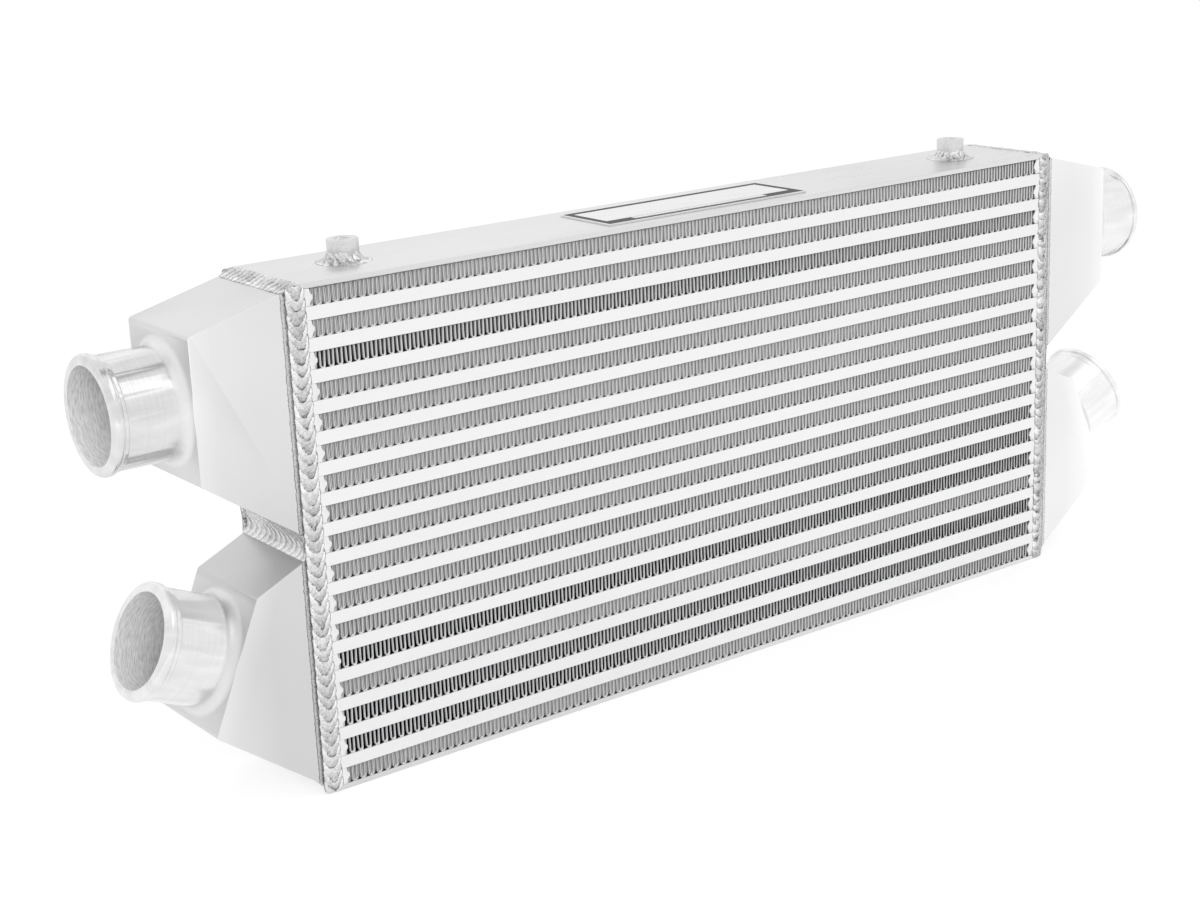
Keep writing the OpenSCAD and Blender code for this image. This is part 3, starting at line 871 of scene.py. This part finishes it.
def weld_piece(node, rings, closed, **ripple):
    """A bead from rings of points, each with its place along and across and how free it is."""
    points = [spot for ring in rings for spot in ring]
    count = len(rings[0])
    faces = []
    for k in range(len(rings) if closed else len(rings) - 1):
        a, b = k * count, (k + 1) % len(rings) * count
        faces += [(a + i, a + (i + 1) % count, b + (i + 1) % count, b + i) for i in range(count)]
    if not closed:
        faces += [tuple(range(count)), tuple(range(len(points) - count, len(points)))]
    mesh = bpy.data.meshes.new(node + "_bead")
    mesh.from_pydata([spot[0] * mm for spot in points], [], faces)
    for place, name, factor in ((1, "along", mm), (2, "across", 1), (3, "outer", 1)):
        made = mesh.attributes.new(name, "FLOAT", "POINT")
        made.data.foreach_set("value", [spot[place] * factor for spot in points])
    work = bmesh.new()
    work.from_mesh(mesh)
    bmesh.ops.recalc_face_normals(work, faces=work.faces)
    for one in work.faces:
        one.smooth = True
    work.to_mesh(mesh)
    work.free()
    piece = new_piece(node + "_bead", mesh, None)
    dressed(piece, rippling, Metal=weld, **ripple)
    return fit(piece, "weld", node)


def straight_bead(toes, under, rise, length, place, columns=16, step=0.55, end=5.0, blunt=0.72):
    """Rings of a straight bead: toes and under lie across it, place puts them in the cooler."""
    a, b = Vector(toes[0]), Vector(toes[1])
    chord, half = (b - a).normalized(), (b - a).length / 2
    out = Vector((chord.y, -chord.x))
    rings = []
    count = round(length / step)
    for k in range(count + 1):
        s = length * k / count
        near = min(s, length - s) / end
        full = math.sqrt(max(0.0, 1 - (1 - min(near, 1)) ** 2))
        ring = []
        for i in range(columns + 1):
            u = 2 * i / columns - 1
            wide = half * (blunt + (1 - blunt) * full)
            spot = (a + b) / 2 + chord * u * wide + out * rise * (1 - u * u) * (0.25 + 0.75 * full)
            ring.append((place(spot, s), s, u, 1.0 if 0 < k < count else 0.0))
        ring += [(place(Vector(spot), s), s, 1.0, 0.0) for spot in under]
        rings.append(ring)
    return rings


core_top, half_depth, half_tank = 304.6, 38, 36.5
ends = (("left", -1), ("right", 1))
for name, way in ends:
    for facing, front in (("front", 1), ("rear", -1)):
        rings = straight_bead(
            [(299, -half_depth), (311, -half_tank)], [(309, -34), (301, -34)], 2.1, 304,
            lambda p, s, way=way, front=front: Vector((way * p.x, front * p.y, 304.3 - s)))
        weld_piece(
            "%s_%s_weld" % (name, facing), rings, False, Pitch=0.0074, Chevron=1.15,
            Slant=0.0 if way < 0 else 1.2, Height=0.0009, Wobble=1.1 if way < 0 else 2.0,
            Groove=1.0, Shade=0.02 if way < 0 else 0.11, Seed=3 + way + 5 * front)
    rings = straight_bead(
        [(314, 300.3), (302, core_top)], [(301, 303), (307, 300), (312, 299)], 2.0, 2 * half_tank,
        lambda p, s, way=way: Vector((way * p.x, half_tank - s, p.y)))
    weld_piece(name + "_top_weld", rings, False, Pitch=0.0052, Chevron=0.9, Slant=0.2,
               Height=0.0007, Wobble=1.6, Groove=0.7, Shade=0.03, Seed=21 + way)
    rings = straight_bead(
        [(312.6, 144.6), (312.8, 161.8)], [(308.8, 159.2), (306, 152.3), (308.8, 147.2)], -2.4,
        2 * half_tank, lambda p, s, way=way: Vector((way * p.x, s - half_tank, p.y)),
        columns=26, end=1.5, blunt=0.95)
    weld_piece(name + "_middle_weld", rings, False, Pitch=0.0060, Chevron=-2.1, Slant=-1.0,
               Height=0.0006, Wobble=0.9, Groove=0.35, Shade=0.08, Seed=31 + way)
    rings = straight_bead(
        [(305, 0.4), (311, 6.5)], [(309, 7), (304, 3)], 0.9, 2 * half_tank,
        lambda p, s, way=way: Vector((way * p.x, s - half_tank, p.y)), columns=10)
    weld_piece(name + "_bottom_weld", rings, False, Pitch=0.0052, Chevron=0.8, Slant=0.0,
               Height=0.0005, Wobble=1.2, Groove=0.7, Shade=0.05, Seed=41 + way)

# The skirt around each boss was laid in a circle, with the torch tilted, so its ripples swirl.
boss_x, boss_y = 250, 2
skirt_radius, skirt_swirls = 13, 13
skirt_inside, skirt_wide, skirt_tall = 9.3, 7.4, 7.0
for name, way in ends:
    rings = []
    turns = 150
    for k in range(turns):
        round_by = 2 * math.pi * k / turns
        t = round_by + math.pi / 2
        ring = []
        for i in range(19):
            u = i / 18
            r = skirt_inside + skirt_wide * (1 - math.cos(u * math.pi / 2))
            z = skirt_tall * (1 - math.sin(u * math.pi / 2)) + 0.05
            ring.append((r, z, 2 * u - 1, 1.0 if 0 < i < 18 else 0.3))
        ring += [(15, -1.5, 1.0, 0.0), (8.5, -1.5, 1.0, 0.0), (8.5, 6, -1.0, 0.0)]
        rings.append([
            (Vector((way * boss_x + r * math.cos(t), boss_y + r * math.sin(t), core_top + z)),
             skirt_radius * round_by, u, free) for r, z, u, free in ring])
    swirl = skirt_radius * 2 * math.pi / skirt_swirls * mm
    weld_piece(name + "_boss_weld", rings, True, Pitch=swirl, Chevron=0.3, Slant=0.9 * way,
               Height=0.0007, Wobble=2.6, Groove=0.5, Shade=-0.02, Seed=51 + way)


# Mounting bosses. Turned from bar, tapped for an M10 screw and welded on; their sides are
# pale and a little specked from the heat.
turned_metal, tree, shader, place = metal("turned_boss", 0.34)
specks = grain(tree, place, 900, (1, 1, 1), 3)
rings = grain(tree, place, 1800, (0.02, 0.02, 1), 2)
speckled = mixed(tree, (specks, 0.7), (rings, 0.3))
tree.links.new(tint(tree, ramp(tree, speckled, 0, 1, 0.52, 0.90)), shader.inputs["Base Color"])
rough = mixed(tree, (specks, 0.6), (rings, 0.4))
tree.links.new(bump(tree, rough, 0.00005), shader.inputs["Normal"])

boss_tall, thread_deep = 13.6, 10.7
threading, given, result = geometry_tree(
    "thread", Turns=float, Radius=float, Tall=float, Tooth=float, Metal=bpy.types.Material)
tree = threading
helix = add(tree, "GeometryNodeCurveSpiral", {
    "Resolution": 40, "Rotations": given["Turns"], "Start Radius": given["Radius"],
    "End Radius": given["Radius"], "Height": given["Tall"]}).outputs[0]
tooth = add(tree, "GeometryNodeCurvePrimitiveCircle", {"Resolution": 3, "Radius": given["Tooth"]})
swept = {"Curve": helix, "Profile Curve": tooth.outputs[0], "Fill Caps": True}
swept = add(tree, "GeometryNodeCurveToMesh", swept).outputs[0]
tree.links.new(ended(tree, swept, given["Metal"]), result)
for name, way in ends:
    fit(broken_edges(name + "_boss", turned_metal, 0.0008), "turned_boss", name + "_boss")
    thread = new_piece(name + "_boss_thread", bpy.data.meshes.new(name + "_boss_thread"), None)
    dressed(thread, threading, Turns=6.2, Radius=0.00427, Tall=0.0093, Tooth=0.0005,
            Metal=turned_metal)
    foot = (way * boss_x * mm, boss_y * mm, (core_top + boss_tall - thread_deep) * mm)
    thread.data.transform(Matrix.Translation(foot))
    fit(thread, "turned_boss")


# Name plate. A flat brushed sheet glued to the top plate. A dark printed line frames it and
# widens to a block at each front corner; the field is left bare.
plate, tree, shader, place = metal("name_plate", 0.3)
px, py, pz = parts_of(tree, place)
# The print: a frame inside a bare margin, a block at each front corner, and a thin line.
plate_x, plate_y, half_long, half_wide = 0.002, -0.003, 0.0815, 0.0255
margin, front_line, side_line, block_wide = 0.0009, 0.0050, 0.0060, 0.0107
left_block, right_block = -0.057, 0.052
x = minus(tree, px, plate_x)
y = minus(tree, py, plate_y)
inset = maths(tree, "MINIMUM", minus(tree, half_long, size_of(tree, x)),
              minus(tree, half_wide, size_of(tree, y)))
inside = ramp(tree, inset, margin, margin + 0.0001)
line_front = -half_wide + front_line + 0.0004
line_wide = ramp(tree, y, line_front, line_front + 0.0001, front_line, side_line)
frame_line = times(tree, inside, maths(tree, "LESS_THAN", inset, line_wide))
blocks = maths(tree, "MAXIMUM", maths(tree, "LESS_THAN", x, left_block),
               maths(tree, "GREATER_THAN", x, right_block))
in_front = maths(tree, "LESS_THAN", y, block_wide - half_wide)
band = times(tree, times(tree, in_front, blocks), inside)
off_line = size_of(tree, plus(tree, y, half_wide - 0.0102))
thin_line = times(tree, ramp(tree, off_line, 0.0008, 0.0005, 0.0, 0.45), inside)
band = maths(tree, "MAXIMUM", band, thin_line)
on_top = maths(tree, "GREATER_THAN", pz, 0.3053)
ink = times(tree, maths(tree, "MAXIMUM", frame_line, band), on_top)
brushed = grain(tree, place, 900, (0.04, 1, 1), 3)
silver = ramp(tree, brushed, 0.3, 0.7, 0.75, 0.85)
tree.links.new(tint(tree, ramp(tree, ink, 0, 1, silver, 0.05)), shader.inputs["Base Color"])
tree.links.new(ramp(tree, ink, 0, 1, 1.0, 0.0), shader.inputs["Metallic"])
tree.links.new(ramp(tree, ink, 0, 1, 0.26, 0.5), shader.inputs["Roughness"])
shader.inputs["Specular IOR Level"].default_value = 0.2
low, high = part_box("name_plate")
work = bmesh.new()
bmesh.ops.create_cube(work, size=1)
mesh = bpy.data.meshes.new("name_plate_sheet")
work.to_mesh(mesh)
work.free()
mesh.transform(Matrix.Translation((low + high) / 2) @ Matrix.Diagonal((*(high - low), 1)))
sheet = new_piece("name_plate_sheet", mesh, plate)
edge = sheet.modifiers.new("edge", "BEVEL")
edge.width, edge.segments = 0.0002, 2
edge.harden_normals = True
fit(finished(sheet), "name_plate", "name_plate")


own_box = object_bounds()
boxes = {"cad": cad_box, "visual": own_box}
boxes = {name: [list(corner) for corner in box] for name, box in boxes.items()}
